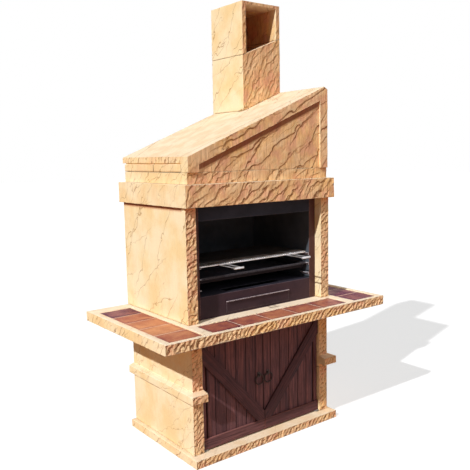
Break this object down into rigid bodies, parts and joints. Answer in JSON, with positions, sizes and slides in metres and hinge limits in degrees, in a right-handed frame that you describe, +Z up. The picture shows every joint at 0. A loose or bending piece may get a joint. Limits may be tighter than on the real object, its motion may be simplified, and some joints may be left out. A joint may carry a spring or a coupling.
{
  "type": "outdoor masonry barbecue",
  "caption": "Floor-standing garden barbecue of cast stone: tiled worktop, steel firebox liner, sliding grill and tray, plank doors, and a one-sided hood with a chimney.",
  "frame": {"origin": "on the ground under the centre of the whole outline", "axes": "+X to the right, +Y to the back, +Z up; the doors and the firebox face -Y"},
  "size_m": [1.57, 0.9, 2.5599],
  "materials": {
    "cast_stone": "matt cast stone, cream to ochre, with raised veins",
    "clay_tile": "unglazed terracotta, orange to brown",
    "stained_wood": "dark red-brown stained boards",
    "black_steel": "matt black heat-proof paint",
    "chromed_wire": "bright chromed wire",
    "black_iron": "black forged iron",
    "bare_steel": "bare steel"
  },
  "bodies": {
    "base": {"base_slab": "cast_stone", "base_wall_left_lower": "cast_stone", "base_wall_left_upper": "cast_stone", "base_wall_right_lower": "cast_stone", "base_wall_right_upper": "cast_stone", "base_wall_back_lower": "cast_stone", "base_wall_back_upper": "cast_stone", "worktop": "cast_stone", "firebox_wall_left": "cast_stone", "firebox_wall_right": "cast_stone", "firebox_wall_back": "cast_stone", "lintel_ring": "cast_stone", "hood_course": "cast_stone", "hood_gable_front": "cast_stone", "hood_wall_left_front": "cast_stone", "hood_wall_left_rear": "cast_stone", "hood_wall_right": "cast_stone", "hood_wall_back": "cast_stone", "roof_slab": "cast_stone", "chimney_block": "cast_stone", "chimney_cap": "cast_stone", "worktop_tiles_left": "clay_tile", "worktop_tiles_front": "clay_tile", "worktop_tiles_right": "clay_tile", "liner_back": "black_steel", "liner_side_left": "black_steel", "liner_side_right": "black_steel", "liner_flange_left": "black_steel", "liner_flange_right": "black_steel", "liner_shield": "black_steel", "liner_floor": "black_steel", "liner_lower_panel": "black_steel", "grill_brackets_left": "black_steel", "grill_brackets_right": "black_steel", "ash_drawer_runners": "black_steel"},
    "door_left": {"door_left_planks": "stained_wood", "door_left_stile": "stained_wood", "door_left_rails": "stained_wood", "door_left_brace": "stained_wood", "door_left_pivots": "bare_steel", "door_left_ring_plate": "black_iron"},
    "door_right": {"door_right_planks": "stained_wood", "door_right_stile": "stained_wood", "door_right_rails": "stained_wood", "door_right_brace": "stained_wood", "door_right_pivots": "bare_steel", "door_right_ring_plate": "black_iron"},
    "ring_left": {"door_left_ring": "black_iron"},
    "ring_right": {"door_right_ring": "black_iron"},
    "ash_drawer": {"ash_drawer": "black_steel", "ash_drawer_front": "black_steel"},
    "ember_tray": {"ember_tray": "black_steel"},
    "grill": {"grill_frame": "chromed_wire", "grill_wires": "chromed_wire", "grill_handle_left": "chromed_wire", "grill_handle_right": "chromed_wire"}
  },
  "joints": [
    {"name": "door_left_hinge", "type": "hinge", "parent": "base", "child": "door_left", "pos_m": [-0.426, -0.229, 0.049], "axis": [0, 0, -1], "range_deg": [0, 90]},
    {"name": "door_right_hinge", "type": "hinge", "parent": "base", "child": "door_right", "pos_m": [0.426, -0.229, 0.049], "axis": [0, 0, 1], "range_deg": [0, 90]},
    {"name": "ring_left_hinge", "type": "hinge", "parent": "door_left", "child": "ring_left", "pos_m": [-0.033, -0.226, 0.3865], "axis": [-1, 0, 0], "range_deg": [0, 120]},
    {"name": "ring_right_hinge", "type": "hinge", "parent": "door_right", "child": "ring_right", "pos_m": [0.033, -0.226, 0.3865], "axis": [-1, 0, 0], "range_deg": [0, 120]},
    {"name": "ash_drawer_slide", "type": "slide", "parent": "base", "child": "ash_drawer", "axis": [0, -1, 0], "range_m": [0, 0.26]},
    {"name": "ember_tray_slide", "type": "slide", "parent": "base", "child": "ember_tray", "axis": [0, -1, 0], "range_m": [0, 0.15]},
    {"name": "grill_slide", "type": "slide", "parent": "base", "child": "grill", "axis": [0, -1, 0], "range_m": [0, 0.15]}
  ]
}
